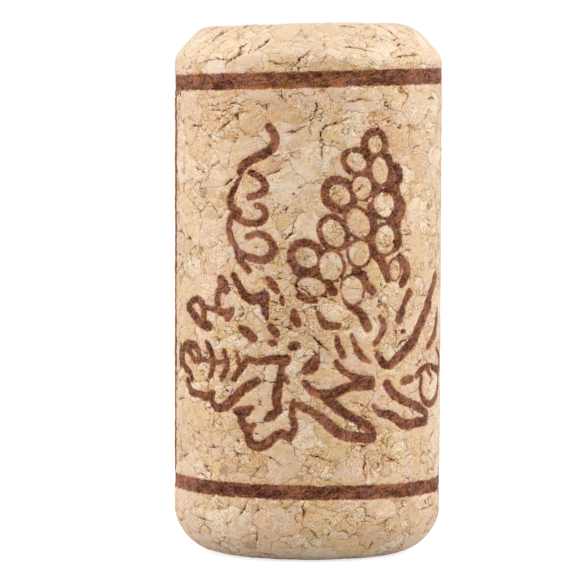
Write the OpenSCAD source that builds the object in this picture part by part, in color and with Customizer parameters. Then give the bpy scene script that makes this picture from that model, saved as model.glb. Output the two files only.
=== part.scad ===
// Cork stopper for a wine bottle, moulded from cork granules and ground round.
// The foot has a round edge, and the top is chamfered and was cut a little out of square.
// Two rings, an upright seam between them and a vine ornament are branded into the barrel.
// Millimetres. The origin is the centre of the foot, +Z is up and -Y is the front.

/* [Stopper] */
// Diameter of the barrel
barrel_d = 22.5; // [20:0.5:30]
// Length from the foot to the high side of the top
stopper_l = 44.5; // [40:0.5:55]
// Radius of the foot's round edge
foot_round = 4; // [1:0.25:5]

/* [Top] */
// Width of the chamfer, across the top
chamfer_w = 2.5; // [2:0.1:4]
// Height of the chamfer, down the barrel
chamfer_h = 2.8; // [2:0.1:3.5]
// Radius that blends the barrel into the chamfer
shoulder_round = 1.5; // [0.5:0.1:2]
// Radius that blends the chamfer into the top face
rim_round = 3; // [0.5:0.1:3.5]
// Angle at which the top face was cut out of square
top_tilt = 1.7; // [0:0.1:3]
// Distance from the axis at which the tilted cut reaches the full length
top_cut_reach = 5; // [0:0.5:8]

/* [Rings] */
// Distance from the full length down to the middle of the upper ring
upper_ring_drop = 4.7; // [4.6:0.1:7]
// Width of the upper ring
upper_ring_w = 1.4; // [0.5:0.1:1.6]
// Rise of the upper ring towards the right, in degrees
upper_ring_tilt = 1.7; // [-2:0.1:2]
// Height of the middle of the lower ring above the foot
lower_ring_z = 6; // [6:0.1:9]
// Width of the lower ring
lower_ring_w = 1.25; // [0.5:0.05:1.6]
// Rise of the lower ring towards the right, in degrees
lower_ring_tilt = -0.6; // [-2:0.1:2]
// Width of the seam, the upright line that joins the rings
seam_w = 1.3; // [0.2:0.1:1.6]
// Bearing of the seam from the front, in degrees
seam_bearing = -84; // [-170:1:-80]

/* [Vine] */
// Depth of every branded line
burn_depth = 0.12; // [0.05:0.01:0.2]
// Height of the whole ornament
vine_h = 27; // [18:0.5:28]
// Width by which the burn spreads past each brush line
burn_spread = 0.1; // [0:0.05:0.2]

/* [Hidden] */
$fn = 96;

barrel_r = barrel_d / 2;
burn_floor_r = barrel_r - burn_depth;
upper_ring_z = stopper_l - upper_ring_drop;

// The ornament stands midway between the rings, and is drawn at this height
vine_z = (lower_ring_z + upper_ring_z) / 2;
drawn_h = 27;
vine_scale = vine_h / drawn_h;

curve_steps = 2;
grape_sides = 14;
cap_angles = [45, 90, 135];

// Cutters stand this far out of the skin, and ornament cutters start at this share of the radius
clear = 1;
press_start = 0.7;

cork_colour = [0.85, 0.72, 0.59];
burn_colour = [0.47, 0.29, 0.22];

// ---- The ornament, drawn flat ----
// A point is [distance round the barrel from the front, height above the ornament's middle].
// A brush line is [[its width at the start, the middle and the end], [its points]].
// Each group is pressed in squarely at one place round the barrel, its _u.

bunch_u = 3.7;

// A grape is [its place, [its width, its height], its turn, the width of the line round it]
grapes = [
    [[5.7, 11.6], [1.3, 1.4], 0, 0.75],
    [[4, 10.2], [1.8, 1.4], -30, 0.55],
    [[6.2, 9.5], [1.4, 2.2], 10, 0.4],
    [[4.5, 8.1], [1.6, 1.9], 10, 0.3],
    [[2.6, 7.5], [1.9, 1.5], -40, 0.8],
    [[6.6, 6.7], [1.9, 2], 30, 0.4],
    [[4.2, 5.2], [1.8, 2.6], 30, 0.35],
    [[2.1, 4.4], [1.7, 2.3], 30, 0.55],
    [[6.7, 3.8], [1.9, 2.3], 0, 0.35],
    [[4.3, 2.7], [1.8, 2], 0, 0.3],
    [[-0.1, 2.4], [1.9, 1.5], -35, 0.8],
    [[1.9, 1.7], [1.9, 2.3], 10, 0.35],
    [[0.3, 0], [2.3, 1.4], -10, 0.3],
    [[3.7, -0.3], [1.8, 2.3], 10, 0.25],
    [[7.7, 1.3], [1, 1.6], 0, 0.3],
];

// Shaded side of the bunch, as [place, radius]
bunch_shade = [
    [[7.4, 9], 1.25],
    [[7.6, 6.3], 1.4],
    [[7.4, 3.8], 1.2],
];

bunch_lines = [
    [[0.6, 1, 0.6], [[7, 10.6], [7.8, 8], [7.9, 5.2], [7.6, 3]]],
    [[0.5, 1, 0.9], [[5, 10.8], [5.4, 9], [5.6, 7.8]]],
    [[0.7, 1, 0.7], [[5.3, 6.6], [5.4, 5.4], [5.5, 4.2]]],
    [[0.8, 0.8, 0.7], [[5.2, 3.6], [5.6, 2.7], [6.2, 2.2], [6.7, 1.2], [7, 0.6]]],
    [[0.8, 0.9, 0.7], [[8.2, 2.3], [9, 1.5], [9, 0.7], [8.5, 0.1]]],
    [[0.5, 0.8, 0.7], [[3.8, 1.2], [4.6, 1], [4.9, 0.1], [5.5, -0.4]]],
    [[0.3, 0.7, 0.8], [[2.9, -1], [3.6, -1.7], [4.4, -2.2], [5.1, -3.4]]],
    [[0.6, 0.9, 0.8], [[-0.9, 1.2], [0.4, 1], [1.4, 0.3], [2.1, -0.4]]],
    [[0.4, 0.5, 0.3], [[-0.8, -0.7], [0, -1.1], [0.7, -1.2]]],
];

tendril_u = -4.9;
tendril_lines = [
    [[0.7, 0.8, 0.7], [[-3.3, 13], [-2.9, 12.4], [-2.8, 11.8], [-3.2, 11.2], [-4.2, 10.6], [-5.4, 10],
        [-5.9, 9.3]]],
    [[0.4, 0.6, 0.6], [[-5, 9.3], [-4.2, 9], [-3.6, 8.3], [-3.8, 7.7], [-4.4, 7.4], [-5, 7.3]]],
    [[0.3, 0.7, 0.7], [[-5.8, 9], [-6.4, 8], [-6.8, 7.2], [-6.7, 6.4], [-6, 6]]],
    [[0.5, 0.6, 0.5], [[-6.7, 5.8], [-5.6, 5.3], [-4.6, 5.1], [-3.8, 5.4], [-3.6, 6], [-3.9, 6.5],
        [-4.4, 6.6]]],
    [[0.5, 0.6, 0.6], [[-6.7, 5.8], [-7, 4.8], [-6.8, 3.9], [-6.2, 3], [-5.9, 2.1], [-5.1, 1.3]]],
    [[0.6, 0.7, 0.5], [[-6.2, 2.9], [-5.2, 2.4], [-4, 2.1], [-3.1, 2.5], [-2.9, 3.2], [-3.4, 4],
        [-4.3, 4.3], [-5.2, 4]]],
];

middle_u = -0.5;
middle_lines = [
    [[0.3, 0.4, 0.3], [[-2.2, -0.8], [-2.1, -1.4]]],
    [[0.5, 0.8, 0.5], [[-1.1, -2], [-1.1, -2.6], [-0.8, -3.1]]],
    [[0.3, 0.8, 0.5], [[0.8, -2.1], [1.4, -3.1], [2.5, -3.2]]],
    [[0.7, 0.8, 0.7], [[-1.3, -4.9], [-0.9, -4.8]]],
    [[0.9, 1.2, 0.5], [[-0.1, -6.8], [0.4, -6.4], [0.7, -5.7]]],
    [[0.3, 0.6, 0.5], [[2.3, -4.1], [2.5, -4.9], [2.9, -5.7]]],
    [[0.5, 0.5, 0.9], [[2.3, -6.2], [2.9, -6.9], [3.9, -7.5], [5.3, -7.8]]],
    [[0.3, 0.7, 0.3], [[3.6, -4], [4, -5], [4.5, -5.8], [5.2, -6.2]]],
    [[0.5, 0.9, 0.7], [[-0.3, -7.8], [0.3, -8.5], [1.4, -8.9], [2.4, -8.6], [3.6, -8.2], [5.4, -8.2]]],
    [[0.9, 0.7, 0.8], [[1.6, -9.1], [2.6, -10.1], [3.8, -10.8], [5, -11.5], [5.5, -12.3]]],
    [[0.5, 0.9, 0.8], [[-1.1, -9.6], [0.2, -10.1], [1.4, -11], [2.6, -12], [4, -12.4], [5.5, -12.5]]],
    [[0.4, 0.6, 0.6], [[-1.2, -9.3], [-1.3, -10.5], [-1.1, -11.6], [-1.5, -12.5]]],
    [[0.7, 0.9, 0.6], [[-1.5, -12.4], [-2.2, -12], [-2.9, -12.5], [-3.7, -13.1], [-4.7, -13], [-5.1, -12],
        [-5.6, -11.2], [-5.7, -10.6]]],
    [[0.6, 1, 0.5], [[-6.2, -10.3], [-5.4, -10.4], [-4.7, -10]]],
    [[0.4, 0.5, 0.4], [[-4.5, -11.4], [-5, -12]]],
    [[0.5, 0.8, 0.7], [[-2.1, -6.2], [-2.4, -8], [-2.6, -9.2], [-2.4, -10.2]]],
    [[0.7, 0.8, 0.5], [[-2.7, -10.4], [-3.4, -10.9]]],
    [[0.4, 0.4, 0.4], [[-2.1, -7.2], [-1.7, -7.8]]],
    [[0.5, 0.6, 0.9], [[-5.1, -5.9], [-4.2, -6.2], [-3, -6], [-1.8, -6]]],
    [[0.5, 0.9, 0.7], [[-5.8, -3.5], [-5.2, -3.8], [-4.6, -4.3]]],
    [[0.6, 0.7, 0.6], [[-3.1, -3.3], [-2.6, -3.9]]],
    [[0.5, 0.6, 0.5], [[-3.1, -4.6], [-2.7, -4.6]]],
    [[0.4, 0.7, 0.4], [[-3.4, 0.7], [-2.9, 0.1], [-2.5, -0.4]]],
    [[0.6, 0.7, 1], [[-6.4, 0.8], [-5.9, 0], [-5.4, -0.8], [-4.7, -1.1], [-3.8, -0.9]]],
    [[0.9, 0.7, 0.4], [[-3.6, -0.8], [-3.6, -1.8], [-3.4, -2.6]]],
];

left_u = -9;
left_lines = [
    [[0.9, 1.1, 0.8], [[-7.8, 0.4], [-7.3, -0.4]]],
    [[0.5, 0.6, 0.6], [[-8, -0.4], [-8.3, -1.2], [-8.1, -2]]],
    [[0.4, 0.5, 0.8], [[-9.7, -1.9], [-8.4, -2.1], [-7.2, -2.3]]],
    [[0.6, 0.8, 0.7], [[-6.7, -2], [-7.1, -2.7]]],
    [[0.7, 0.9, 0.8], [[-12.4, -2], [-11.5, -2.5], [-10.5, -3.2], [-9.2, -3.5]]],
    [[0.5, 0.7, 0.6], [[-12.2, -1.8], [-11.2, -1.4], [-10.4, -1.4], [-9.9, -2.1], [-9.9, -3]]],
    [[0.7, 0.8, 0.6], [[-10.4, -6], [-10.9, -5.3], [-12, -5.1], [-13.1, -5.5], [-13.4, -6.3],
        [-12.9, -7.1], [-12, -7.4], [-11.6, -8]]],
    [[0.5, 0.6, 0.6], [[-12.6, -5.6], [-11.7, -5.9], [-11.1, -6.4], [-10.4, -6.3]]],
    [[0.7, 0.7, 0.7], [[-12.3, -8.2], [-11.8, -9], [-10.6, -9.2], [-9.4, -9.3], [-8.7, -9]]],
    [[0.6, 0.8, 0.7], [[-8.9, -9.1], [-8.7, -9.9], [-7.9, -10.2], [-6.9, -9.7], [-5.9, -8.8],
        [-5.1, -8.2], [-4.3, -7.8]]],
    [[0.3, 0.45, 0.4], [[-10.8, -6.3], [-9.4, -6.3], [-8, -6.4], [-7, -6.3]]],
    [[0.6, 0.6, 0.5], [[-9.4, -4.9], [-8.8, -5.8], [-8.7, -6.8], [-9, -7.6]]],
    [[0.4, 0.5, 0.6], [[-7.5, -5.4], [-7.1, -6.3], [-7.3, -7.1], [-7.7, -7.7]]],
    [[0.3, 0.4, 0.5], [[-6.2, -5.5], [-6, -6.4]]],
    [[0.5, 0.6, 0.6], [[-5.1, -6], [-5.8, -6.8], [-6.5, -7.7]]],
];

right_u = 10.7;
right_lines = [
    [[0.5, 0.9, 1.1], [[5.9, -5.4], [6.4, -6.2], [7.2, -6.6], [8.2, -6], [9.2, -5.3], [10.1, -4.6],
        [10.9, -3.6], [11.7, -2.6]]],
    [[1.1, 1.3, 1], [[12.1, -2.2], [12.6, -1.4]]],
    [[0.9, 0.9, 0.9], [[12.7, -1], [13.3, -0.4]]],
    [[1, 1.1, 1], [[13.7, 0.1], [14.2, 0.5]]],
    [[0.5, 0.9, 0.5], [[12.3, -5.4], [13.2, -4.8], [14, -4.2], [14.4, -3.3], [14.8, -2.4]]],
    [[0.5, 0.6, 0.7], [[11.3, -7.8], [11.1, -8.8], [11.6, -9.7], [12.7, -10.1], [13.9, -9.9],
        [14.9, -9.1], [15.3, -8]]],
    [[0.6, 0.5, 0.8], [[10.5, -7.6], [11.5, -7.1], [12.8, -6.9], [14.2, -7.3], [15.4, -7.4]]],
    [[0.8, 0.7, 0.4], [[15.3, -7.8], [15.6, -6.8], [15.2, -6], [14.4, -5.6]]],
    [[0.6, 0.5, 0.4], [[12.4, -7.2], [13.2, -7.9]]],
    [[0.6, 0.7, 0.6], [[8.7, -8], [9.9, -7.8]]],
    [[0.8, 0.8, 0.6], [[7, -8.1], [7.5, -8.8], [8.3, -9.3], [9.3, -9.7], [10.4, -10.1], [11.4, -10.5],
        [12.2, -10.9]]],
    [[0.4, 0.9, 0.8], [[5.7, -9.8], [6.3, -10.5], [7.4, -10.7], [8.4, -11.3], [9.4, -11.6],
        [10.7, -11.5], [12.1, -11.5]]],
    [[0.7, 0.8, 0.8], [[12.2, -10.9], [12.1, -11.5]]],
    [[0.4, 0.6, 0.4], [[6.3, -2.6], [6.7, -3.2], [6.4, -4], [5.8, -4.8]]],
    [[0.9, 0.5, 0.8], [[8.3, -2.8], [8.8, -1.7], [9.5, -0.7]]],
    [[0.4, 0.4, 0.4], [[8.7, -3.8], [8.9, -3.8]]],
];

// ---- Outlines of brush lines and ovals ----

function unit(v) = v / norm(v);
function blend(a, b, t) = a + (b - a) * t;

// Point of a smooth curve at t between b and c, where the curve comes from a and goes on to d
function span_point(a, b, c, d, t) =
    b + (c - a) * t / 2
    + (2 * a - 5 * b + 4 * c - d) * t * t / 2
    + (3 * b - a - 3 * c + d) * t * t * t / 2;

// Smooth centre line through the points p
function centre_line(p) =
    let (last = len(p) - 1)
    [
        for (i = [0 : last - 1], k = [0 : curve_steps - 1])
            span_point(p[max(i - 1, 0)], p[i], p[i + 1], p[min(i + 2, last)], k / curve_steps),
        p[last]
    ];

// Which way the centre line c runs at its point i
function heading(c, i) = unit(c[min(i + 1, len(c) - 1)] - c[max(i - 1, 0)]);
function left_of(v) = [-v[1], v[0]];

// Width of a brush line at t, from 0 at its start to 1 at its end
function width_at(w, t) =
    burn_spread + (t < 0.5 ? blend(w[0], w[1], 2 * t) : blend(w[1], w[2], 2 * t - 1));

// Points of the half circle that ends a brush line of this width, pointing outwards
function round_end(at, outwards, width) =
    [for (a = cap_angles) at + width / 2 * (cos(a) * left_of(outwards) + sin(a) * outwards)];

function brush_outline(line) =
    let (
        w = line[0],
        c = centre_line(line[1]),
        last = len(c) - 1,
        half = [for (i = [0 : last]) left_of(heading(c, i)) * width_at(w, i / last) / 2]
    )
    concat(
        [for (i = [0 : last]) c[i] + half[i]],
        round_end(c[last], heading(c, last), width_at(w, 1)),
        [for (i = [last : -1 : 0]) c[i] - half[i]],
        round_end(c[0], -heading(c, 0), width_at(w, 0))
    );

// Oval of this size and turn, grown all round by a line
function oval(at, size, turn, line) =
    [
        for (k = [0 : grape_sides - 1])
            let (
                a = 360 * k / grape_sides,
                x = (size[0] / 2 + line) * cos(a),
                y = (size[1] / 2 + line) * sin(a)
            )
            at + [x * cos(turn) - y * sin(turn), x * sin(turn) + y * cos(turn)]
    ];

// ---- Pressing the ornament into the barrel ----

// Bearing from the front, in degrees, of a place u round the barrel
function bearing(u) = u * vine_scale / barrel_r * 180 / PI;

// Drawn points as they look on the barrel from straight in front of the place u
function facing(u, points) =
    [for (p = points) [barrel_r * sin(bearing(p[0] - u)), vine_z + vine_scale * p[1]]];

// Cutter through the barrel's skin at the place u, from flat shapes that face it
module press(u) {
    rotate([0, 0, bearing(u)])
        rotate([90, 0, 0])
            translate([0, 0, press_start * barrel_r])
                linear_extrude((1 - press_start) * barrel_r + clear)
                    children();
}

module brush_lines(u, lines) {
    for (line = lines) polygon(facing(u, brush_outline(line)));
}

module bunch() {
    press(bunch_u)
        difference() {
            union() {
                for (g = grapes) polygon(facing(bunch_u, oval(g[0], g[1], g[2], g[3])));
                for (s = bunch_shade) polygon(facing(bunch_u, oval(s[0], [0, 0], 0, s[1])));
                brush_lines(bunch_u, bunch_lines);
            }
            for (g = grapes) polygon(facing(bunch_u, oval(g[0], g[1], g[2], 0)));
        }
}

module vine() {
    bunch();
    press(tendril_u) brush_lines(tendril_u, tendril_lines);
    press(middle_u) brush_lines(middle_u, middle_lines);
    press(left_u) brush_lines(left_u, left_lines);
    press(right_u) brush_lines(right_u, right_lines);
}

module ring(z, width, tilt) {
    translate([0, 0, z])
        rotate([0, -tilt, 0])
            cylinder(r = barrel_r + clear, h = width, center = true);
}

module seam() {
    rotate([0, 0, seam_bearing])
        translate([-seam_w / 2, -barrel_r - clear, lower_ring_z])
            cube([seam_w, 2 * clear, upper_ring_z - lower_ring_z]);
}

// All that is branded, down to the floor of the burn
module burns() {
    difference() {
        union() {
            ring(upper_ring_z, upper_ring_w, upper_ring_tilt);
            ring(lower_ring_z, lower_ring_w, lower_ring_tilt);
            seam();
            vine();
        }
        rotate([0, 0, 90]) cylinder(r = burn_floor_r, h = stopper_l);
    }
}

// ---- The stopper ----

// A profile's corner, rounded: [tangent point before, tangent point after, centre of the round]
function corner(before, at, after, r) =
    let (
        a = unit(before - at),
        b = unit(after - at),
        half = acos(a * b) / 2
    )
    [at + a * r / tan(half), at + b * r / tan(half), at + unit(a + b) * r / sin(half)];

module blank() {
    chamfer_foot = [barrel_r, stopper_l - chamfer_h];
    chamfer_head = [barrel_r - chamfer_w, stopper_l];
    foot = corner([0, 0], [barrel_r, 0], chamfer_foot, foot_round);
    shoulder = corner([barrel_r, 0], chamfer_foot, chamfer_head, shoulder_round);
    rim = corner(chamfer_foot, chamfer_head, [0, stopper_l], rim_round);
    rotate([0, 0, 90])
        rotate_extrude() {
            polygon([[0, 0], foot[0], foot[1], shoulder[0], shoulder[1], rim[0], rim[1], [0, stopper_l]]);
            translate(foot[2]) circle(r = foot_round);
            translate(shoulder[2]) circle(r = shoulder_round);
            translate(rim[2]) circle(r = rim_round);
        }
}

// What the tilted cut takes off the top
module top_waste() {
    translate([top_cut_reach, 0, stopper_l])
        rotate([0, -top_tilt, 0])
            translate([-barrel_d, -barrel_d, 0])
                cube([2 * barrel_d, 2 * barrel_d, barrel_d]);
}

module cork_stopper() {
    difference() {
        color(cork_colour)
            difference() {
                blank();
                top_waste();
            }
        color(burn_colour) burns();
    }
}

cork_stopper();
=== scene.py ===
"""The looks of a cork stopper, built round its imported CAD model, and the stage it stands on.

Lengths are in metres, as in the frame. The patterns of the cork are worked out in millimetres.
"""

import math
import random

import bmesh
import bpy
from mathutils import Matrix, Vector
from mathutils.bvhtree import BVHTree


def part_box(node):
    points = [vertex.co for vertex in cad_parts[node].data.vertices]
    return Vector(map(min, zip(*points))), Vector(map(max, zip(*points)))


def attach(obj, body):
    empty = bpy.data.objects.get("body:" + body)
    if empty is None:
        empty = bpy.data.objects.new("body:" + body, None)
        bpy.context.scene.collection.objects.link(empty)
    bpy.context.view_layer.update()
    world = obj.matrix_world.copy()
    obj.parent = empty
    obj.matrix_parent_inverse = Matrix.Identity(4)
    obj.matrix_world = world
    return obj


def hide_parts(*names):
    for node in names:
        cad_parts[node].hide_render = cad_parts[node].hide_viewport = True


bl_info = {
    "name": "Cork Stopper",
    "version": (1, 0, 0),
    "blender": (4, 5, 0),
    "location": "View3D > Sidebar > Cork",
    "description": "Models a stopper of moulded cork with a branded vine, and the stage it stands on",
    "category": "Object",
}

NODE = "cork_stopper"
MM = 0.001

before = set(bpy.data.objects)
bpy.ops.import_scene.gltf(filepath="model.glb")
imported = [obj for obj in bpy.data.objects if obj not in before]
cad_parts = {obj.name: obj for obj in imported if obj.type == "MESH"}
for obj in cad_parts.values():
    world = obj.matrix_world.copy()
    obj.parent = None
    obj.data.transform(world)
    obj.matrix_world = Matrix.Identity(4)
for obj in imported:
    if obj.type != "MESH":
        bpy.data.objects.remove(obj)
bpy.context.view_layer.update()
_, stopper_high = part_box(NODE)


def linear(red, green, blue):
    """A colour given in steps of 0 to 255 on the screen, as Blender's linear colour."""
    shares = [step / 255 for step in (red, green, blue)]
    return tuple(s / 12.92 if s <= 0.04045 else ((s + 0.055) / 1.055) ** 2.4 for s in shares)


# ---- What a user may change ----


def length_property(name, description, millimetres):
    return bpy.props.FloatProperty(
        name=name, description=description, default=millimetres * MM, min=0, unit="LENGTH", precision=5
    )


def colour_property(name, description, *steps):
    return bpy.props.FloatVectorProperty(
        name=name, description=description, default=linear(*steps), size=3, min=0, max=1, subtype="COLOR"
    )


def own_fields(group):
    """The names of what a user may change in a group."""
    names = [field.identifier for field in group.bl_rna.properties]
    return [name for name in names if name not in ("name", "rna_type")]


class StopperSizes(bpy.types.PropertyGroup):
    """Sizes of the cork blank and of what is burnt and cracked into it."""

    radius: bpy.props.FloatProperty(
        name="Barrel radius",
        description="Radius of the round barrel",
        default=stopper_high.y,
        unit="LENGTH",
        precision=5,
    )
    length: bpy.props.FloatProperty(
        name="Length",
        description="Height from the foot to the high side of the top",
        default=stopper_high.z,
        unit="LENGTH",
        precision=5,
    )
    foot_round: length_property("Foot round", "Radius of the round edge of the foot", 4)
    chamfer_width: length_property("Chamfer width", "Width of the chamfer, across the top", 2.5)
    chamfer_height: length_property("Chamfer height", "Height of the chamfer, down the barrel", 2.8)
    shoulder_round: length_property("Shoulder round", "Radius between the barrel and the chamfer", 1.5)
    rim_round: length_property("Rim round", "Radius between the chamfer and the top face", 3)
    top_tilt: bpy.props.FloatProperty(
        name="Top tilt",
        description="Angle at which the top was cut out of square",
        default=math.radians(1.7),
        subtype="ANGLE",
    )
    top_reach: length_property("Top cut reach", "Distance from the axis at which the cut meets the top", 5)
    burn_depth: length_property("Burn depth", "Depth of the branded lines", 0.12)
    press_depth: length_property("Press depth", "Depth at which the branded lines lie in the skin", 0.07)
    crack_depth: length_property("Crack depth", "Depth of the main cracks between granules", 0.25)
    gap_depth: length_property("Gap depth", "Depth of the small gaps along the seams", 0.22)
    pit_depth: length_property("Pit depth", "Depth of the holes where a crumb has broken out", 0.5)
    voxel: length_property("Mesh cell", "Edge of the cells that the relief is cut into", 0.1)


class StopperColours(bpy.types.PropertyGroup):
    """Colours of the cork and of the brand."""

    pink: colour_property("Pink cork", "Granules of pinkish cork", 213, 180, 148)
    straw: colour_property("Straw cork", "Granules of yellowish cork", 211, 177, 130)
    pale: colour_property("Pale cork", "The palest granules", 222, 201, 171)
    tan: colour_property("Tan cork", "The darkest granules", 201, 160, 114)
    ochre: colour_property("Ochre", "Growth lines in the granules", 192, 140, 70)
    seam: colour_property("Seam", "Glue line between two granules", 148, 97, 36)
    crack: colour_property("Crack", "Inside of an open crack", 126, 69, 22)
    stain: colour_property("Stain", "Rusty bark round the holes", 190, 126, 62)
    smudge: colour_property("Smudge", "Dull crumbs of green bark", 160, 130, 84)
    # Colour of the pale torn crumbs, and of the painted highlight on the head and on the lips of the gaps
    dust_and_highlight: colour_property("Dust", "Pale dust left on the ground head", 244, 224, 198)
    burn: colour_property("Burn", "Lightest part of the branded lines", 165, 107, 79)
    # Also the painted shade in the core of each main crack
    char: colour_property("Char", "Darkest part of the branded lines", 64, 25, 10)
    scorch: colour_property("Scorch", "Scorched edge of the branded lines", 182, 112, 62)


class StageSizes(bpy.types.PropertyGroup):
    """Camera, lamps and floor."""

    distance: length_property("Camera distance", "Distance of the camera in front of the axis", 333.1)
    height: length_property("Camera height", "Height of the camera above the floor", 41.06)
    side: length_property("Camera side step", "Distance of the camera to the left of the axis", 1.49)
    floor_width: length_property("Floor width", "Width of the floor", 4000)
    pitch: bpy.props.FloatProperty(
        name="Camera pitch",
        description="Angle that the camera looks down",
        default=math.radians(3.274),
        subtype="ANGLE",
    )
    roll: bpy.props.FloatProperty(
        name="Camera roll",
        description="Turn of the camera about its own line of sight",
        default=math.radians(0.175),
        subtype="ANGLE",
    )
    lens: bpy.props.FloatProperty(
        name="Lens", description="Focal length, in millimetres", default=245.1, min=1
    )
    sky: bpy.props.FloatProperty(
        name="Sky", description="Strength of the light from all round", default=0.57, min=0
    )
    side_lamp: bpy.props.FloatProperty(
        name="Side lamps",
        description="Power of each lamp beside the stopper, in watts",
        default=0.839,
        min=0,
    )
    top_lamp: bpy.props.FloatProperty(
        name="Top lamp",
        description="Power of the lamp above the stopper, in watts",
        default=0.83,
        min=0,
    )


# ---- Wiring of node trees ----


HALF = (0.5, 0.5, 0.5)
EVEN = (1.0, 1.0, 1.0)


class Wiring:
    """Adds nodes to a tree. What goes into a node is a number, a vector or another node's socket."""

    def __init__(self, tree):
        self.nodes = tree.nodes
        self.links = tree.links

    def feed(self, socket, value):
        if isinstance(value, bpy.types.NodeSocket):
            self.links.new(value, socket)
        else:
            socket.default_value = value

    def add(self, kind, inputs=None, **settings):
        node = self.nodes.new(kind)
        for name, value in settings.items():
            setattr(node, name, value)
        for name, value in (inputs or {}).items():
            self.feed(node.inputs[name], value)
        return node

    def math(self, operation, *values):
        node = self.add("ShaderNodeMath", operation=operation)
        for socket, value in zip(node.inputs, values):
            self.feed(socket, value)
        return node.outputs[0]

    def product(self, first, *others):
        for other in others:
            first = self.math("MULTIPLY", first, other)
        return first

    def total(self, first, *others):
        for other in others:
            first = self.math("ADD", first, other)
        return first

    def most(self, first, *others):
        for other in others:
            first = self.math("MAXIMUM", first, other)
        return first

    def scaled(self, vector, by):
        node = self.add("ShaderNodeVectorMath", {"Vector": vector, "Scale": by}, operation="SCALE")
        return node.outputs["Vector"]

    def vector(self, operation, *values):
        node = self.add("ShaderNodeVectorMath", operation=operation)
        for socket, value in zip(node.inputs, values):
            self.feed(socket, value)
        return node.outputs["Value" if operation in ("LENGTH", "DISTANCE", "DOT_PRODUCT") else "Vector"]

    def parts(self, vector):
        return self.add("ShaderNodeSeparateXYZ", {0: vector}).outputs

    def ramp(self, value, start, end, low=0.0, high=1.0):
        """A smooth step from low, where the value is start, to high, where it is end."""
        levels = {"Value": value, "From Min": start, "From Max": end, "To Min": low, "To Max": high}
        return self.add("ShaderNodeMapRange", levels, interpolation_type="SMOOTHSTEP").outputs[0]

    def noise(self, place, per_mm, detail=2.0, roughness=0.5):
        """Cloudy noise: its value and its colour, both round 0.5."""
        inputs = {"Vector": place, "Scale": per_mm, "Detail": detail, "Roughness": roughness}
        return self.add("ShaderNodeTexNoise", inputs).outputs

    def spread(self, noise):
        """A noise value with its middle moved to 0."""
        return self.math("SUBTRACT", noise, 0.5)

    def contours(self, value, count, width, where=1.0):
        """Lines along which a value stays the same, so many per unit of it, that taper off with where."""
        level = self.math("FRACT", self.product(value, count))
        reach = self.math("MULTIPLY_ADD", where, width, 0.001)
        return self.ramp(self.math("ABSOLUTE", self.spread(level)), reach, 0.0)

    def cells(self, place, per_mm, feature="F1"):
        """Cells like packed granules: distance in cell widths, and a random colour for each cell."""
        inputs = {"Vector": place, "Scale": per_mm}
        return self.add("ShaderNodeTexVoronoi", inputs, feature=feature).outputs

    def mix(self, factor, a, b, kind="RGBA"):
        node = self.add("ShaderNodeMix", data_type=kind)
        word = {"RGBA": "Color", "FLOAT": "Float"}[kind]
        sockets = {socket.identifier: socket for socket in node.inputs}
        self.feed(sockets["Factor_Float"], factor)
        self.feed(sockets["A_" + word], a)
        self.feed(sockets["B_" + word], b)
        return next(socket for socket in node.outputs if socket.identifier == "Result_" + word)


# ---- The grain of moulded cork, the same for the relief and for the colours ----

# How many granules go to a millimetre
BIG_GRANULES = 0.36
SMALL_GRANULES = 0.85


class Grain:
    """Fields of the granules at a place in millimetres, in any node tree.

    gap is the distance to the nearest seam, dice three random numbers for each granule, and rolls those
    numbers one by one. The others are shares of 0 to 1, but for hole_edge, which is less than 0 in a hole.
    """

    def __init__(self, w, place):
        place = w.vector("MULTIPLY", place, (1.0, 1.0, 1.35))
        drift = w.vector("SUBTRACT", w.noise(place, 0.4, 1)["Color"], HALF)
        shiver = w.vector("SUBTRACT", w.noise(place, 2.6, 3, 0.6)["Color"], HALF)
        sway = w.vector("SUBTRACT", w.noise(place, 1.0, 1)["Color"], HALF)
        bent = w.vector("ADD", place, w.scaled(drift, 2.0))
        bent = w.vector("ADD", bent, w.scaled(sway, 0.8))
        bent = w.vector("ADD", bent, w.scaled(shiver, 0.4))

        big = w.cells(bent, BIG_GRANULES)
        big_edge = w.cells(bent, BIG_GRANULES, "DISTANCE_TO_EDGE")["Distance"]
        small = w.cells(bent, SMALL_GRANULES)
        small_edge = w.cells(bent, SMALL_GRANULES, "DISTANCE_TO_EDGE")["Distance"]

        # Some big granules are clusters of small ones
        cluster = w.math("GREATER_THAN", w.parts(big["Color"])[0], 0.65)
        big_gap = w.math("DIVIDE", big_edge, BIG_GRANULES)
        small_gap = w.math("DIVIDE", small_edge, SMALL_GRANULES)
        self.gap = w.mix(cluster, big_gap, w.math("MINIMUM", big_gap, small_gap), "FLOAT")
        self.dice = w.mix(cluster, big["Color"], small["Color"])
        self.rolls = w.parts(self.dice)

        # A seam can be seen along parts of its length
        self.seen = w.ramp(w.noise(place, 1.0, 3, 0.65)[0], 0.41, 0.56)

        # Small gaps open along short stretches of the seams
        self.open = w.ramp(w.noise(place, 0.9, 3, 0.65)[0], 0.58, 0.7)
        self.crack = w.ramp(w.math("SUBTRACT", self.gap, w.product(self.open, 0.04)), 0.02, -0.02)
        self.crack = w.product(self.crack, w.ramp(self.open, 0.02, 0.4))

        # Small holes, where a crumb has broken out
        scatter = w.cells(w.vector("ADD", place, w.scaled(shiver, 1.0)), 0.42)
        size = w.ramp(w.parts(scatter["Color"])[1], 0.65, 1.0, -0.06, 0.075)
        self.hole_edge = w.math("SUBTRACT", scatter["Distance"], size)
        self.hole = w.ramp(self.hole_edge, 0.02, -0.03)


# ---- The main cracks ----

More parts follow.
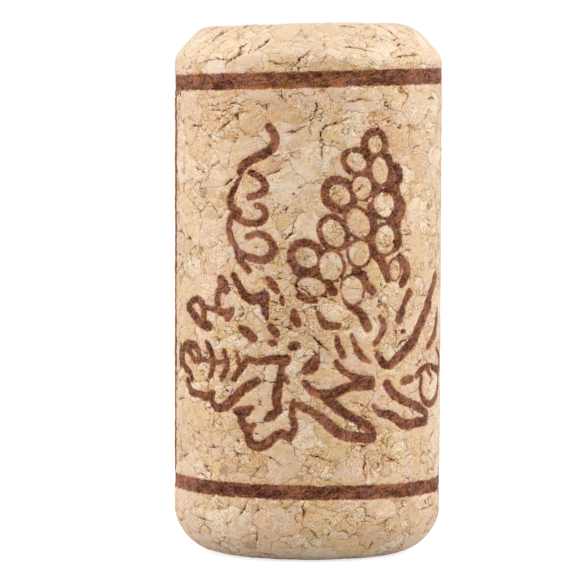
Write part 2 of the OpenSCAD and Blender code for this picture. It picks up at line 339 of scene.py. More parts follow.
# Each crack of the front is its width in the middle, then where it starts, bends and ends.
# A place is the distance round the barrel from the front and the height above the foot, in millimetres.
HEAD_CRACKS = (
    (0.35, (-9.0, 42.8), (-8.4, 43.3), (-7.9, 43.7)),
    (0.2, (-9.8, 41.2), (-8.5, 41.5), (-7.0, 41.4)),
    (0.2, (-7.0, 41.2), (-6.4, 41.6), (-5.7, 42.0)),
    (0.25, (-6.0, 42.0), (-5.8, 42.5), (-5.3, 42.7)),
    (0.35, (-4.4, 42.3), (-3.8, 42.6), (-3.3, 43.1)),
    (0.15, (-3.1, 41.3), (-2.5, 41.0), (-1.7, 41.2)),
    (0.2, (-1.4, 40.7), (-0.9, 41.3), (0.0, 42.1)),
    (0.2, (3.0, 42.5), (4.1, 42.4), (5.4, 42.1)),
    (0.35, (8.0, 41.7), (8.6, 41.8), (9.2, 41.8)),
    (0.2, (7.9, 42.6), (8.3, 42.8), (8.8, 42.7)),
    (0.2, (9.6, 41.8), (9.9, 41.9), (10.3, 41.9)),
)
UPPER_CRACKS = (
    (0.2, (-2.2, 39.0), (-2.2, 38.4), (-1.9, 38.0)),
    (0.25, (1.2, 39.4), (1.5, 39.1), (1.7, 39.3)),
    (0.2, (8.4, 39.1), (8.7, 38.8), (9.1, 38.6)),
    (0.25, (12.2, 38.2), (12.7, 38.3), (13.3, 38.2)),
    (0.2, (-7.0, 37.7), (-6.4, 37.9), (-5.7, 37.6)),
    (0.2, (-8.8, 37.3), (-7.8, 37.2), (-6.6, 37.5)),
    (0.15, (-6.6, 36.7), (-5.9, 37.1), (-5.1, 37.2)),
    (0.4, (0.5, 37.0), (0.6, 37.5), (0.6, 38.0)),
    (0.2, (6.3, 36.4), (6.6, 36.6), (7.0, 36.7)),
    (0.15, (3.3, 38.0), (4.2, 38.2), (5.2, 38.1)),
    (0.35, (1.0, 35.0), (1.1, 35.7), (1.4, 36.1)),
    (0.15, (1.5, 36.1), (2.4, 36.3), (3.3, 36.7)),
    (0.2, (-8.0, 35.7), (-7.3, 36.1), (-6.7, 36.5)),
    (0.25, (-9.2, 35.2), (-8.8, 34.8), (-8.3, 34.6)),
    (0.2, (-11.6, 36.0), (-11.0, 35.9), (-10.2, 36.0)),
    (0.15, (-1.9, 35.5), (-1.2, 35.5), (-0.4, 36.0)),
    (0.2, (9.9, 34.1), (10.1, 34.3), (10.6, 34.4)),
    (0.15, (1.1, 33.4), (1.0, 34.0), (1.2, 34.6)),
)
MIDDLE_CRACKS = (
    (0.2, (-10.9, 32.5), (-10.3, 32.3), (-9.7, 32.1)),
    (0.3, (-5.1, 32.4), (-4.8, 32.3), (-4.5, 32.3)),
    (0.25, (-7.4, 31.0), (-7.0, 31.4), (-6.5, 31.8)),
    (0.15, (-3.5, 32.0), (-2.8, 32.2), (-2.2, 32.6)),
    (0.3, (3.8, 30.6), (4.2, 30.8), (4.5, 31.2)),
    (0.25, (-1.9, 26.8), (-1.3, 27.4), (-1.2, 28.1)),
    (0.2, (-14.5, 27.1), (-13.8, 27.1), (-13.1, 26.9)),
    (0.25, (-14.0, 24.1), (-13.6, 24.4), (-13.2, 24.1)),
    (0.15, (-12.5, 26.5), (-12.1, 26.6), (-11.7, 26.5)),
    (0.15, (8.4, 27.5), (8.8, 27.4), (9.4, 27.1)),
    (0.2, (8.9, 25.7), (9.2, 25.8), (9.5, 25.8)),
    (0.3, (-1.3, 23.2), (-0.6, 22.8), (0.5, 22.1)),
    (0.35, (0.9, 22.1), (1.6, 22.0), (2.2, 21.7)),
    (0.25, (-5.9, 21.4), (-5.5, 20.8), (-5.9, 20.2)),
    (0.25, (6.3, 21.3), (6.6, 21.4), (6.9, 21.3)),
    (0.3, (-3.1, 20.3), (-2.7, 20.2), (-2.4, 20.2)),
    (0.2, (2.7, 19.6), (3.0, 19.5), (3.4, 19.5)),
    (0.35, (8.1, 17.9), (8.7, 18.3), (9.4, 18.6)),
    (0.25, (7.7, 19.4), (8.0, 18.9), (7.9, 18.3)),
    (0.35, (0.2, 19.0), (0.9, 18.3), (1.7, 17.6)),
    (0.25, (-3.3, 21.6), (-2.8, 21.6), (-2.3, 21.5)),
    (0.2, (-2.1, 19.7), (-1.5, 19.4), (-0.7, 19.2)),
    (0.15, (-0.9, 20.9), (-0.5, 20.8), (-0.2, 20.7)),
)
LOWER_CRACKS = (
    (0.2, (-14.3, 13.0), (-13.7, 13.2), (-13.0, 13.2)),
    (0.2, (3.8, 13.4), (4.4, 13.3), (4.9, 12.9)),
    (0.2, (4.6, 12.4), (4.9, 12.2), (5.3, 12.1)),
    (0.3, (9.4, 12.9), (9.8, 12.5), (10.1, 12.1)),
    (0.35, (-9.1, 9.5), (-8.6, 9.4), (-8.1, 9.5)),
    (0.2, (4.3, 9.9), (4.7, 9.8), (5.2, 9.9)),
    (0.15, (4.9, 9.0), (4.8, 8.1), (4.9, 7.1)),
    (0.15, (6.5, 9.0), (7.3, 8.6), (8.3, 8.1)),
    (0.25, (-3.4, 8.9), (-2.8, 8.7), (-2.3, 8.3)),
    (0.2, (-4.6, 7.4), (-4.3, 7.7), (-4.0, 8.0)),
    (0.15, (0.0, 9.1), (0.8, 9.0), (1.8, 8.6)),
    (0.15, (13.0, 10.0), (13.6, 10.3), (14.0, 10.5)),
    (0.2, (-10.7, 7.0), (-10.3, 7.1), (-9.8, 7.1)),
    (0.25, (-0.4, 4.9), (-0.3, 4.4), (-0.3, 3.9)),
    (0.15, (-5.9, 4.0), (-5.5, 4.4), (-5.2, 5.0)),
    (0.15, (4.8, 4.7), (5.1, 4.0), (5.8, 3.8)),
    (0.15, (11.4, 4.1), (12.2, 4.1), (13.1, 4.2)),
    (0.15, (-10.6, 3.5), (-9.9, 3.4), (-9.2, 3.3)),
    (0.2, (-14.2, 2.8), (-13.8, 2.8), (-13.3, 3.0)),
    (0.25, (2.6, 2.8), (3.0, 2.8), (3.4, 2.5)),
    (0.2, (5.3, 1.1), (5.5, 1.5), (5.7, 1.8)),
    (0.15, (-4.4, 1.5), (-4.2, 2.1), (-4.3, 2.9)),
)
FRONT_CRACKS = HEAD_CRACKS + UPPER_CRACKS + MIDDLE_CRACKS + LOWER_CRACKS

# The cracks of the front lie this far round to each side, in millimetres
FRONT_REACH = 16.0

# Cracks elsewhere are scattered, one to a cell of this size in millimetres, in this many rows each way from
# the middle of the head and of the foot
CRACK_CELL = 3.6
END_ROWS = 2
CRACK_SEED = 7

# Decimals of a normal that are the same in each run
NORMAL_DIGITS = 5


def scattered_crack(dice, across, up):
    """A crack with its middle near a place, in the same form as those of the front."""
    middle = Vector((across + dice.uniform(-1, 1), up + dice.uniform(-1, 1)))
    size = dice.uniform(0.3, 1.0) ** 1.5
    turn = math.radians(dice.triangular(-80, 80))
    half = (0.3 + size) * Vector((math.cos(turn), math.sin(turn)))
    crest = middle + dice.uniform(-0.5, 0.5) * half.orthogonal()
    return dice.uniform(0.15, 0.4), middle - half, crest, middle + half


def outward(spot, normal, core):
    """The normal at a spot, rounded and turned away from the core.

    Blender turns some faces at the cut top inward, and not the same ones in each run.
    """
    side = math.copysign(1, normal.dot(spot - core))
    return Vector([side * round(part, NORMAL_DIGITS) for part in normal])


def lay_cracks(sizes, smooth):
    """The main cracks on the smooth skin: for each its width, start, bend and end, and the way outward."""
    skin = BVHTree.FromObject(smooth, bpy.context.evaluated_depsgraph_get())
    far = 2 * sizes.length

    def front(across, up):
        x = sizes.radius * math.sin(across * MM / sizes.radius)
        return skin.ray_cast(Vector((x, -far, up * MM)), Vector((0, 1, 0)))

    def side(across, up):
        bearing = across * MM / sizes.radius
        out = Vector((math.sin(bearing), -math.cos(bearing), 0))
        return skin.ray_cast(out * far + Vector((0, 0, up * MM)), -out)

    def head(across, up):
        return skin.ray_cast(Vector((across * MM, up * MM, far)), Vector((0, 0, -1)))

    def foot(across, up):
        return skin.ray_cast(Vector((across * MM, up * MM, -far)), Vector((0, 0, 1)))

    drawn = [(front, crack) for crack in FRONT_CRACKS]
    dice = random.Random(CRACK_SEED)
    girth = 2 * math.pi * sizes.radius / MM - 2 * FRONT_REACH
    columns = int(girth / CRACK_CELL)
    rows = int(sizes.length / MM / CRACK_CELL)
    for i in range(columns):
        for j in range(rows):
            across = FRONT_REACH + (i + 0.5) * girth / columns
            up = (j + 0.5) * sizes.length / MM / rows
            drawn.append((side, scattered_crack(dice, across, up)))
    span = range(-END_ROWS, END_ROWS + 1)
    for cast in (head, foot):
        drawn += [(cast, scattered_crack(dice, CRACK_CELL * i, CRACK_CELL * j)) for i in span for j in span]

    core = Vector((0, 0, sizes.length / 2))
    laid = []
    for cast, (width, *places) in drawn:
        hits = [cast(*place) for place in places]
        if all(hit[0] is not None for hit in hits):
            laid.append((width * MM, *(hit[0] for hit in hits), outward(*hits[1][:2], core)))
    return laid


def chart_cracks(sizes, smooth):
    """A chart with a small plate at each main crack, which carries the crack's measures."""
    corners = []
    measures = {"middle": [], "along": [], "across": [], "bend": []}
    for width, start, crest, end, out in lay_cracks(sizes, smooth):
        middle = (start + end) / 2
        sideways = out.cross(end - start).normalized()
        across = sideways * width / 2
        corners += [start, crest - across, end, crest + across]
        measures["middle"].extend(middle)
        measures["along"].extend((end - start) / 2)
        measures["across"].extend(across)
        measures["bend"].append(sideways.dot(crest - middle))
    plates = [tuple(range(i, i + 4)) for i in range(0, len(corners), 4)]
    chart = bpy.data.meshes.new("crack_chart")
    chart.from_pydata(corners, [], plates)
    for name, values in measures.items():
        if name == "bend":
            chart.attributes.new(name, "FLOAT", "FACE").data.foreach_set("value", values)
        else:
            chart.attributes.new(name, "FLOAT_VECTOR", "FACE").data.foreach_set("vector", values)
    piece = bpy.data.objects.new("crack_chart", chart)
    bpy.context.scene.collection.objects.link(piece)
    return piece


def object_shape(w, piece):
    node = w.add("GeometryNodeObjectInfo")
    node.inputs["Object"].default_value = piece
    return node.outputs["Geometry"]


def named(sockets, name):
    return next(socket for socket in sockets if socket.name == name and socket.enabled)


# How far past its plate in the chart a crack may reach, in millimetres
CRACK_REACH = 0.8


def crack_place(w, place, chart):
    """Where a place lies in the nearest crack.

    Gives the share of the way from its middle to an end, the distance off its line in millimetres,
    and half its width, which is 0 far from the crack.
    """
    plates = object_shape(w, chart)

    def measure(name, kind):
        read = w.add("GeometryNodeInputNamedAttribute", {"Name": name}, data_type=kind)
        sample = w.add(
            "GeometryNodeSampleNearestSurface", {"Mesh": plates, "Sample Position": place}, data_type=kind
        )
        w.feed(named(sample.inputs, "Value"), named(read.outputs, "Attribute"))
        return named(sample.outputs, "Value")

    step = w.vector("SUBTRACT", place, measure("middle", "FLOAT_VECTOR"))
    along = measure("along", "FLOAT_VECTOR")
    across = measure("across", "FLOAT_VECTOR")
    half_length = w.vector("LENGTH", along)
    half_width = w.vector("LENGTH", across)
    share = w.math("DIVIDE", w.vector("DOT_PRODUCT", step, along), w.product(half_length, half_length))
    taper = w.math("SUBTRACT", 1.0, w.math("ABSOLUTE", share))
    off = w.math("DIVIDE", w.vector("DOT_PRODUCT", step, across), half_width)
    off = w.math("SUBTRACT", off, w.product(measure("bend", "FLOAT"), w.math("MAXIMUM", taper, 0.0)))
    near = w.product(
        w.math("LESS_THAN", w.math("ABSOLUTE", off), CRACK_REACH * MM),
        w.math("GREATER_THAN", w.product(taper, half_length), -CRACK_REACH * MM),
    )
    return w.add(
        "ShaderNodeCombineXYZ",
        {"X": share, "Y": w.product(off, 1 / MM), "Z": w.product(half_width, near, 1 / MM)},
    ).outputs[0]


def crack_edge(w, place, split):
    """Millimetres from the ragged edge of the nearest crack, less than 0 inside it, and from its line."""
    share, off, half_width = w.parts(split)
    wander = w.total(
        w.product(w.spread(w.noise(place, 1.7, 3, 0.6)[0]), 0.4),
        w.product(w.spread(w.noise(place, 4.5, 2)[0]), 0.35),
    )
    breath = w.ramp(w.noise(place, 2.4, 3, 0.6)[0], 0.42, 0.68, 0.06, 1.15)
    taper = w.math("SUBTRACT", 1.0, w.math("ABSOLUTE", share))
    beyond = w.product(w.math("MINIMUM", taper, 0.0), -0.5)
    reach = w.product(half_width, breath, w.ramp(taper, 0.0, 0.6, 0.0, 0.8))
    line = w.math("ABSOLUTE", w.math("ADD", off, wander))
    return w.total(line, w.product(reach, -1.0), beyond), line


# ---- The brand, read off the CAD solid ----

# The solid's loose triangles are joined where their corners lie this close, in metres
JOINED = 1e-7

# A place this near to the floor of the brand lies on it, as the solid is faceted
ON_FLOOR = 0.013 * MM


def burn_distance(w, place, sizes):
    """Distance in millimetres from a place to the outline of the brand, less than 0 inside it."""
    merged = w.add(
        "GeometryNodeMergeByDistance",
        {"Geometry": object_shape(w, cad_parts[NODE]), "Distance": JOINED},
    )

    x, y, z = w.parts(w.add("GeometryNodeInputPosition").outputs[0])
    radius = w.math("SQRT", w.total(w.product(x, x), w.product(y, y)))
    on_floor = w.product(
        w.math("LESS_THAN", radius, sizes.radius - 0.85 * sizes.burn_depth),
        w.math("GREATER_THAN", z, sizes.foot_round),
        w.math("LESS_THAN", z, sizes.length - sizes.chamfer_height - sizes.shoulder_round / 2),
    )
    floor = w.add(
        "GeometryNodeSeparateGeometry",
        {"Geometry": merged.outputs[0], "Selection": on_floor},
        domain="FACE",
    ).outputs["Selection"]
    is_rim = w.math("LESS_THAN", w.add("GeometryNodeInputMeshEdgeNeighbors").outputs[0], 1.5)
    rim = w.add(
        "GeometryNodeSeparateGeometry", {"Geometry": floor, "Selection": is_rim}, domain="EDGE"
    ).outputs["Selection"]

    px, py, pz = w.parts(place)
    reach = w.math("SQRT", w.total(w.product(px, px), w.product(py, py)))
    shrink = w.math("DIVIDE", sizes.radius - sizes.burn_depth, w.math("MAXIMUM", reach, sizes.radius / 2))
    sunk = w.add(
        "ShaderNodeCombineXYZ",
        {"X": w.product(px, shrink), "Y": w.product(py, shrink), "Z": pz},
    ).outputs[0]
    to_floor = w.add(
        "GeometryNodeProximity", {"Geometry": floor, "Sample Position": sunk}, target_element="FACES"
    ).outputs["Distance"]
    to_rim = w.add(
        "GeometryNodeProximity", {"Geometry": rim, "Sample Position": sunk}, target_element="EDGES"
    ).outputs["Distance"]
    side = w.math("SUBTRACT", 1.0, w.product(2.0, w.math("LESS_THAN", to_floor, ON_FLOOR)))
    return w.product(to_rim, side, 1 / MM)


# ---- Modelling the stopper ----

# Corners this close to a height count as lying at it, in metres
NEAR = 1e-6


def select_edges(piece, height, radius):
    """In edit mode, selects the ring of edges at this height and radius."""
    bpy.ops.mesh.select_mode(type="EDGE")
    bpy.ops.mesh.select_all(action="DESELECT")
    mesh = bmesh.from_edit_mesh(piece.data)
    for edge in mesh.edges:
        edge.select_set(
            all(
                abs(corner.co.z - height) < NEAR and abs(corner.co.xy.length - radius) < radius / 1000
                for corner in edge.verts
            )
        )
    bmesh.update_edit_mesh(piece.data)


def select_top_face(piece, height):
    bpy.ops.mesh.select_mode(type="FACE")
    bpy.ops.mesh.select_all(action="DESELECT")
    mesh = bmesh.from_edit_mesh(piece.data)
    for face in mesh.faces:
        face.select_set(all(abs(corner.co.z - height) < NEAR for corner in face.verts))
    bmesh.update_edit_mesh(piece.data)


def round_ring(piece, height, radius, size, turn, segments):
    """Rounds a ring of edges, at which the outline turns by an angle, to a radius."""
    select_edges(piece, height, radius)
    bpy.ops.mesh.bevel(
        offset=size * math.tan(turn / 2),
        offset_type="OFFSET",
        segments=segments,
        profile=0.5,
        affect="EDGES",
    )


def model_blank(sizes):
    """The cork blank: a cylinder with a round foot, a chamfered head and a top cut out of square."""
    bpy.ops.object.select_all(action="DESELECT")
    bpy.ops.mesh.primitive_cylinder_add(
        vertices=256, radius=sizes.radius, depth=sizes.length, location=(0, 0, sizes.length / 2)
    )
    blank = bpy.context.object
    blank.name = "stopper"
    bpy.ops.object.transform_apply(location=True, rotation=True, scale=True)
    bpy.ops.object.mode_set(mode="EDIT")

    select_top_face(blank, sizes.length)
    bpy.ops.mesh.inset(thickness=sizes.chamfer_width, depth=0)
    select_edges(blank, sizes.length, sizes.radius)
    bpy.ops.transform.translate(value=(0, 0, -sizes.chamfer_height))

    lean = math.atan2(sizes.chamfer_width, sizes.chamfer_height)
    shoulder = sizes.length - sizes.chamfer_height
    rim_radius = sizes.radius - sizes.chamfer_width
    round_ring(blank, 0, sizes.radius, sizes.foot_round, math.pi / 2, 16)
    round_ring(blank, shoulder, sizes.radius, sizes.shoulder_round, lean, 8)
    round_ring(blank, sizes.length, rim_radius, sizes.rim_round, math.pi / 2 - lean, 10)

    bpy.ops.mesh.select_all(action="SELECT")
    bpy.ops.mesh.bisect(
        plane_co=(sizes.top_reach, 0, sizes.length),
        plane_no=(-math.sin(sizes.top_tilt), 0, math.cos(sizes.top_tilt)),
        use_fill=True,
        clear_outer=True,
    )
    bpy.ops.mesh.select_all(action="SELECT")
    bpy.ops.mesh.normals_make_consistent(inside=False)
    bpy.ops.object.mode_set(mode="OBJECT")
    return blank


def apply_modifier(piece, modifier):
    bpy.ops.object.select_all(action="DESELECT")
    piece.select_set(True)
    bpy.context.view_layer.objects.active = piece
    bpy.ops.object.modifier_apply(modifier=modifier.name)


def geometry_tree(name):
    tree = bpy.data.node_groups.new(name, "GeometryNodeTree")
    tree.interface.new_socket("Geometry", in_out="INPUT", socket_type="NodeSocketGeometry")
    tree.interface.new_socket("Geometry", in_out="OUTPUT", socket_type="NodeSocketGeometry")
    w = Wiring(tree)
    start = w.add("NodeGroupInput").outputs[0]
    end = w.add("NodeGroupOutput").inputs[0]
    return tree, w, start, end


def run_tree(piece, tree):
    modifier = piece.modifiers.new(tree.name, "NODES")
    modifier.node_group = tree
    apply_modifier(piece, modifier)


def cut_relief(piece, sizes, chart):
    """Presses the brand into the skin, opens the cracks and holes, and makes the skin a little uneven."""
    tree, w, start, end = geometry_tree("Cork relief")
    position = w.add("GeometryNodeInputPosition").outputs[0]
    place = w.scaled(position, 1 / MM)
    grain = Grain(w, place)
    burn = burn_distance(w, position, sizes)
    split = w.ramp(crack_edge(w, place, crack_place(w, position, chart))[0], 0.04, -0.05)
    wobble = w.spread(w.noise(place, 3.0, 2)[0])
    burnt = w.ramp(w.math("ADD", burn, w.product(wobble, 0.2)), 0.05, -0.09)
    burnt = w.product(burnt, w.ramp(grain.rolls[1], 0.0, 1.0, 0.75, 1.0))

    sway = w.spread(w.noise(place, 0.22, 2)[0])
    step = w.math("SUBTRACT", grain.rolls[0], 0.6)
    crumble = w.math("SUBTRACT", w.noise(place, 1.9, 3, 0.6)[0], 0.6)
    valley = w.ramp(grain.gap, 0.25, 0.0)
    valley = w.product(valley, w.total(w.product(grain.seen, 0.5), w.product(grain.open, 1.2), 0.15))
    hole = w.product(grain.hole, w.ramp(w.noise(place, 3.4, 2)[0], 0.3, 0.7, 0.6, 1.0))
    height = w.total(
        w.product(sway, 0.12),
        w.product(step, 0.03),
        w.product(crumble, 0.05),
        w.product(valley, -0.06),
        w.product(burnt, -sizes.press_depth / MM),
        w.product(split, -sizes.crack_depth / MM),
        w.product(grain.crack, -sizes.gap_depth / MM),
        w.product(hole, -sizes.pit_depth / MM),
    )
    height = w.math("MINIMUM", height, 0.0)
    normal = w.add("GeometryNodeInputNormal").outputs[0]
    moved = w.add(
        "GeometryNodeSetPosition",
        {"Geometry": start, "Offset": w.scaled(normal, w.product(height, MM))},
    )
    w.links.new(moved.outputs[0], end)
    run_tree(piece, tree)


def note(w, shape, name, kind, value):
    """Keeps a value on each point of a shape, under a name."""
    node = w.add(
        "GeometryNodeStoreNamedAttribute", {"Geometry": shape, "Name": name}, data_type=kind, domain="POINT"
    )
    w.feed(named(node.inputs, "Value"), value)
    return node.outputs[0]


def mark_skin(piece, smooth, sizes, chart):
    """Notes on each point its place on the smooth blank, and where it lies by the brand and in a crack."""
    tree, w, start, end = geometry_tree("Cork marks")
    nearest = w.add(
        "GeometryNodeProximity", {"Geometry": object_shape(w, smooth)}, target_element="FACES"
    ).outputs["Position"]
    shape = note(w, start, "rest", "FLOAT_VECTOR", w.scaled(nearest, 1 / MM))
    shape = note(w, shape, "burn", "FLOAT", burn_distance(w, nearest, sizes))
    shape = note(w, shape, "split", "FLOAT_VECTOR", crack_place(w, nearest, chart))
    w.links.new(shape, end)
    run_tree(piece, tree)


def copy_of(piece, name):
    twin = piece.copy()
    twin.data = piece.data.copy()
    twin.name = name
    bpy.context.scene.collection.objects.link(twin)
    return twin


# The finished stopper has no more triangles than this
TRIANGLES = 190000


def model_stopper(sizes):
    piece = model_blank(sizes)
    smooth = copy_of(piece, "smooth_blank")
    chart = chart_cracks(sizes, smooth)
    cells = piece.modifiers.new("Cells", "REMESH")
    cells.mode = "VOXEL"
    cells.voxel_size = sizes.voxel * 1
    cells.use_smooth_shade = True
    apply_modifier(piece, cells)
    cut_relief(piece, sizes, chart)
    piece.data.calc_loop_triangles()
    thinning = piece.modifiers.new("Thinning", "DECIMATE")
    thinning.ratio = min(1, TRIANGLES / len(piece.data.loop_triangles))
    apply_modifier(piece, thinning)
    mark_skin(piece, smooth, sizes, chart)
    bpy.data.objects.remove(smooth)
    bpy.data.objects.remove(chart)
    for polygon in piece.data.polygons:
        polygon.use_smooth = True
    return piece


# ---- Finish ----

# How much of each kind of light and dark goes to red, green and blue
SHADE_TINT = (0.6, 1.0, 1.8)
SAND_TINT = (0.75, 1.0, 1.3)
GOLD_TINT = (-0.15, 0.1, 0.8)
ROSE_TINT = (0.15, 0.0, 0.0)
CHAR_TINT = (0.6, 0.0, 1.8)

# Where the upright seam was pressed harder: bearings from the front in radians, and heights in millimetres
PRESSED_FROM, PRESSED_TO = -1.5, -1.2
PRESSED_FOOT, PRESSED_HEAD = 6.8, 39.0

# The heights in millimetres between which the painted highlight on the head grows
HIGHLIGHT_START, HIGHLIGHT_FULL = 40.8, 42.1


class CorkSkin:
    """The colour of moulded and branded cork, laid coat by coat in a material's tree.

    Places and distances are in millimetres. A coat lies on by a share of 0 to 1. A noise lies round 0.
    """

    def __init__(self, w, tint):
        self.w = w
        self.tint = tint
        self.place = w.add("ShaderNodeAttribute", attribute_name="rest").outputs["Vector"]
        self.burn = w.add("ShaderNodeAttribute", attribute_name="burn").outputs["Fac"]
        self.split = w.add("ShaderNodeAttribute", attribute_name="split").outputs["Vector"]
        self.grain = Grain(w, self.place)
        self.fine = self.noise(5.5, 3, 0.7)
        self.sand = self.noise(11.0, 2, 0.6)
        self.cloud = self.noise(1.3, 3, 0.6)
        self.jolt = w.scaled(w.noise(self.place, 4.0, 2)["Color"], 0.6)

        # Patches of the skin are busy with grit and wrinkles
        restless = w.math("ADD", w.noise(self.place, 0.45, 3, 0.6)[0], w.product(self.grain.rolls[2], 0.12))
        self.busy = w.ramp(restless, 0.46, 0.66)

        self.lay_granules()
        self.shade_granules()
        self.draw_growth_lines()
        self.draw_wrinkles()
        self.draw_seams()
        self.scatter_specks()
        self.scatter_grit()
        self.scatter_smudges()
        self.rust_holes()
        self.scatter_crumbs()
        self.paint_head_highlight()
        self.press_brand()
        self.open_cracks()

    def noise(self, per_mm, detail, roughness=0.5):
        return self.w.spread(self.w.noise(self.place, per_mm, detail, roughness)[0])

    def coat(self, share, colour):
        """Lays a colour, by its name or as a socket, over the skin."""
        if isinstance(colour, str):
            colour = self.tint[colour]
        self.colour = self.w.mix(share, self.colour, colour)

    def shade(self, by):
        """Makes the skin lighter or darker by a share of its red, green and blue."""
        self.colour = self.w.vector("MULTIPLY", self.colour, self.w.vector("ADD", by, EVEN))

    def lay_granules(self):
        """Pinkish and straw granules, some paler or darker, with warm clouds over them."""
        w, tint, cloud = self.w, self.tint, self.cloud
        roll_1, roll_2, roll_3 = self.grain.rolls
        tone = self.noise(0.28, 2, 0.6)
        lean = w.total(w.product(roll_1, 0.7), w.product(tone, 2.4), 0.15)
        self.colour = w.mix(w.ramp(lean, 0.25, 0.75), tint["pink"], tint["straw"])
        lift = w.total(w.product(roll_2, 0.75), w.product(cloud, 0.8), w.product(tone, 0.5), 0.125)
        self.coat(w.ramp(lift, 0.5, 0.9, 0.0, 0.8), "pale")
        fall = w.total(w.product(roll_3, 0.75), w.product(cloud, -0.8), w.product(tone, -0.5), 0.125)
        self.coat(w.ramp(fall, 0.6, 0.95, 0.0, 0.7), "tan")

        warm = w.noise(w.vector("MULTIPLY", self.place, (0.8, 0.8, 1.3)), 1.0, 4, 0.6)[0]
        self.coat(w.ramp(warm, 0.5, 0.75, 0.0, 0.5), "ochre")
        tinge = w.noise(w.vector("MULTIPLY", self.place, (0.8, 0.8, 1.1)), 1.0, 2, 0.6)["Color"]
        self.tinge = w.vector("SUBTRACT", tinge, HALF)
        rose, _, gold = w.parts(self.tinge)
        self.shade(w.vector("ADD", w.scaled(GOLD_TINT, gold), w.scaled(ROSE_TINT, rose)))

    def shade_granules(self):
        """Soft streaks, which run round the barrel and lean another way in each granule, and sand, partly
        painted shade.
        """
        w, dice, busy = self.w, self.grain.dice, self.busy
        swing = w.product(w.math("SUBTRACT", self.grain.rolls[1], 0.5), 2.4)
        turned = w.add(
            "ShaderNodeVectorRotate",
            {"Vector": self.place, "Axis": w.vector("SUBTRACT", dice, HALF), "Angle": swing},
            rotation_type="AXIS_ANGLE",
        ).outputs[0]
        self.turned = w.vector("ADD", turned, w.scaled(dice, 30.0))
        streaks = w.noise(w.vector("MULTIPLY", self.turned, (0.8, 0.8, 4.2)), 1.0, 3, 0.65)[0]
        self.streaks = w.spread(streaks)
        # Partly the cork's own tone and partly painted shade: the streaks also raise the fine relief, and
        # its low spots are painted darker
        self.shade(w.scaled(SHADE_TINT, w.total(w.product(self.streaks, 0.6), w.product(self.cloud, 0.25))))
        # Partly grain and partly painted shade: the fine noise and sand also raise the fine relief, and its
        # low spots are painted darker
        grain_and_relief_shade = w.total(
            w.product(self.fine, w.math("ADD", w.product(busy, 1.2), 0.25)),
            w.product(self.sand, w.math("ADD", w.product(busy, 2.0), 0.4)),
        )
        self.shade(w.scaled(SAND_TINT, grain_and_relief_shade))

    def draw_growth_lines(self):
        """Broad ochre growth lines, with a thin dark string in the middle of some."""
        w = self.w
        waves = w.noise(w.vector("MULTIPLY", self.turned, (0.35, 0.35, 1.0)), 1.0, 2)[0]
        lined = w.product(w.ramp(self.grain.rolls[0], 0.25, 0.5), w.ramp(self.cloud, -0.12, 0.1))
        self.coat(w.product(w.contours(waves, 5.0, 0.16), lined, 0.5), "ochre")
        self.string = w.contours(waves, 5.0, 0.05, w.product(lined, w.ramp(self.fine, -0.1, 0.1)))
        self.coat(w.product(self.string, 0.85), "seam")

    def draw_wrinkles(self):
        """Short wrinkles here and there, and finer puckers where the skin is busy."""
        w = self.w
        crossed = w.vector("ADD", self.place, w.scaled(w.noise(self.place, 2.2, 2)["Color"], 0.9))
        fold = w.noise(w.vector("MULTIPLY", crossed, (0.9, 0.9, 3.2)), 1.0, 2, 0.55)[0]
        rough = w.math("ADD", w.noise(self.place, 1.0, 3, 0.65)[0], w.product(self.busy, 0.1))
        self.wrinkle = w.contours(fold, 2.0, 0.08, w.ramp(rough, 0.48, 0.6))
        self.coat(w.product(self.wrinkle, 0.8), "seam")
        pucker = w.noise(w.vector("MULTIPLY", crossed, (1.6, 1.6, 5.5)), 1.0, 2, 0.55)[0]
        self.pucker = w.contours(pucker, 2.0, 0.08, w.product(self.busy, w.ramp(self.fine, -0.05, 0.15)))
        self.coat(w.product(self.pucker, 0.6), "seam")

    def draw_seams(self):
        """The glue lines between granules, clear in places and faint elsewhere."""
        w = self.w
        self.line = w.ramp(self.grain.gap, 0.055, 0.01)
        self.seam = w.product(self.line, w.math("ADD", w.product(self.grain.seen, 0.8), 0.1))
        self.coat(self.seam, "seam")

    def scattered(self, per_mm, squash, jolt):
        """Cells like packed crumbs, flattened by a squash and ragged by a jolt."""
        w = self.w
        place = w.vector("ADD", w.vector("MULTIPLY", self.place, (1.0, 1.0, squash)), jolt)
        return w.cells(place, per_mm)

    def scatter_specks(self):
        """Dark specks of bark with a rusty edge."""
        w = self.w
        dot = self.scattered(1.1, 1.6, self.jolt)
        size = w.ramp(w.parts(dot["Color"])[2], 0.62, 1.0, 0.0, 0.15)
        off = w.math("SUBTRACT", dot["Distance"], size)
        here = w.ramp(size, 0.0, 0.03)
        self.coat(w.product(w.ramp(off, 0.12, 0.0), here, 0.55), "stain")
        self.specks = w.product(w.ramp(off, 0.02, -0.04), here, w.ramp(self.fine, -0.1, 0.05))
        self.coat(w.product(self.specks, 0.85), "crack")

    def scatter_grit(self):
        w = self.w
        grit = self.scattered(2.6, 1.4, self.jolt)
        size = w.ramp(w.parts(grit["Color"])[1], 0.6, 1.0, 0.0, 0.3)
        self.grit = w.product(w.ramp(grit["Distance"], size, 0.0), self.busy)
        self.coat(w.product(self.grit, 0.7), "seam")

    def scatter_smudges(self):
        """Dull crumbs of green bark."""
        w = self.w
        crumb = self.scattered(0.5, 1.2, w.scaled(self.jolt, 2.0))
        size = w.ramp(w.parts(crumb["Color"])[0], 0.84, 0.92, 0.0, 0.3)
        off = w.math("SUBTRACT", crumb["Distance"], size)
        smudge = w.product(w.ramp(off, 0.03, -0.05), w.ramp(size, 0.0, 0.05))
        self.coat(w.product(smudge, w.ramp(self.cloud, -0.2, 0.1, 0.6, 0.9)), "smudge")

    def rust_holes(self):
        w = self.w
        patchy = w.ramp(w.noise(self.place, 1.7, 2)[0], 0.42, 0.58)
        self.coat(w.product(w.ramp(self.grain.hole_edge, 0.1, 0.0), patchy, 0.8), "stain")

